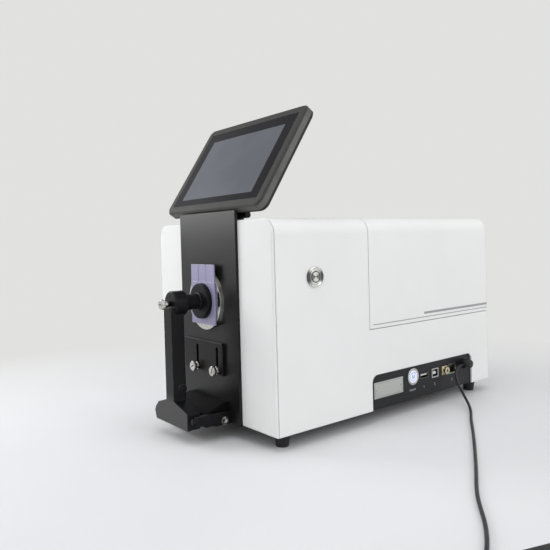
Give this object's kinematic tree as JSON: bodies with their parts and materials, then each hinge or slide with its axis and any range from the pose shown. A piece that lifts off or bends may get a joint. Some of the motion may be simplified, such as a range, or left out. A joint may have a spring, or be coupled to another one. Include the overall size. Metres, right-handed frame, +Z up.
{
  "type": "benchtop spectrophotometer",
  "caption": "Benchtop colour spectrophotometer: white cabinet with hinged lid, front measuring port with spring sample clamp, tilting display, side connector panel and power lead.",
  "frame": {"origin": "on the table, under the middle of the instrument's box without its power lead", "axes": "+Z up, +Y from the measuring port to the rear, +X to the right seen from the front"},
  "size_m": [0.5771, 0.4596, 0.3263],
  "materials": {
    "white_paint": "satin",
    "black_paint": "satin",
    "black_panel": "semi-gloss",
    "black_alloy": "anodised satin",
    "bezel_plastic": "fine grain",
    "screen_glass": "gloss",
    "reflect_white": "matte white coating",
    "insert_black": "matte",
    "plaque_lavender": "satin",
    "chrome": "polished",
    "steel": "brushed",
    "brass": "bright",
    "socket_black": "matte",
    "button_lens": "lit",
    "pad_rubber": "matte",
    "rubber": "matte",
    "cord_rubber": "satin",
    "adapter_plastic": "fine grain",
    "board_green": "satin",
    "lens_glass": "gloss"
  },
  "bodies": {
    "housing": {"front_panel": "white_paint", "main_shell": "white_paint", "base_plate": "black_paint", "deck_plate": "black_paint", "feet": "rubber", "lid_hinge_fixed": "steel", "lid_hinge_pins": "steel", "column": "black_paint", "port_ring": "chrome", "aperture_insert": "insert_black", "sphere_front": "reflect_white", "sphere_rear": "reflect_white", "sphere_stand": "black_alloy", "lamp_module": "black_alloy", "trap_motor": "steel", "spectrometer_case": "black_alloy", "viewing_lens": "black_alloy", "viewing_glass": "lens_glass", "grating": "lens_glass", "sensor_board": "board_green", "sample_rail": "black_alloy", "main_board": "board_green", "io_panel": "black_panel", "io_board": "board_green", "label_plate": "steel", "usb_a_socket": "steel", "usb_b_socket": "socket_black", "network_socket": "steel", "coax_socket": "brass", "dc_jack": "socket_black", "test_button_body": "steel", "power_button_body": "steel", "display_bracket": "black_paint", "display_pin": "black_alloy", "clamp_base": "black_alloy", "clamp_ears": "black_alloy", "clamp_ear_screws": "chrome", "clamp_pin": "black_alloy", "dc_plug": "cord_rubber", "dc_cord": "cord_rubber", "dc_cord_coil": "cord_rubber", "dc_cord_tail": "cord_rubber", "cord_tie": "cord_rubber", "power_adapter": "adapter_plastic"},
    "lid": {"lid": "white_paint", "lid_hinge_moving": "steel"},
    "display": {"display_housing": "bezel_plastic", "display_glass": "screen_glass", "display_knuckles": "black_alloy"},
    "arm": {"clamp_arm": "black_alloy"},
    "plunger": {"plunger_rod": "black_alloy", "plunger_pad": "pad_rubber", "plunger_knob": "chrome"},
    "sample": {"sample_plaque": "plaque_lavender"},
    "rest": {"sample_rest": "black_alloy"},
    "rest_screw_left": {"rest_screw_left": "chrome"},
    "rest_screw_right": {"rest_screw_right": "chrome"},
    "test_button": {"test_button_cap": "steel"},
    "power_button": {"power_button_cap": "button_lens"},
    "trap_shutter": {"trap_shutter": "black_alloy"}
  },
  "joints": [
    {"name": "lid_hinge", "type": "hinge", "parent": "housing", "child": "lid", "pos_m": [-0.00125, 0.19895, 0.0988], "axis": [-1, 0, 0], "range_deg": [0, 75]},
    {"name": "display_tilt", "type": "hinge", "parent": "housing", "child": "display", "pos_m": [-0.00125, -0.12945, 0.2195], "axis": [1, 0, 0], "range_deg": [-35, 5]},
    {"name": "arm_swing", "type": "hinge", "parent": "housing", "child": "arm", "pos_m": [-0.00125, -0.18795, 0.0235], "axis": [1, 0, 0], "range_deg": [0, 75], "stiffness_Nm_per_rad": 0.8, "springref_deg": -20.05},
    {"name": "plunger_slide", "type": "slide", "parent": "arm", "child": "plunger", "axis": [0, -1, 0], "range_m": [0, 0.008], "stiffness_N_per_m": 500, "springref_m": -0.004},
    {"name": "sample_slide", "type": "slide", "parent": "housing", "child": "sample", "axis": [1, 0, 0], "range_m": [0, 0.08]},
    {"name": "rest_slide", "type": "slide", "parent": "housing", "child": "rest", "axis": [0, 0, -1], "range_m": [0, 0.019]},
    {"name": "rest_screw_left_turn", "type": "hinge", "parent": "housing", "child": "rest_screw_left", "pos_m": [-0.01985, -0.15545, 0.0642], "axis": [0, -1, 0], "continuous": true},
    {"name": "rest_screw_right_turn", "type": "hinge", "parent": "housing", "child": "rest_screw_right", "pos_m": [0.01735, -0.15545, 0.0642], "axis": [0, -1, 0], "continuous": true},
    {"name": "test_button_press", "type": "slide", "parent": "housing", "child": "test_button", "axis": [-1, 0, 0], "range_m": [0, 0.0025], "stiffness_N_per_m": 800, "springref_m": -0.001},
    {"name": "power_button_press", "type": "slide", "parent": "housing", "child": "power_button", "axis": [-1, 0, 0], "range_m": [0, 0.002], "stiffness_N_per_m": 800, "springref_m": -0.001},
    {"name": "trap_shutter_turn", "type": "hinge", "parent": "housing", "child": "trap_shutter", "pos_m": [-0.04725, -0.03045, 0.1336], "axis": [0, 1, 0], "range_deg": [0, 50]}
  ]
}
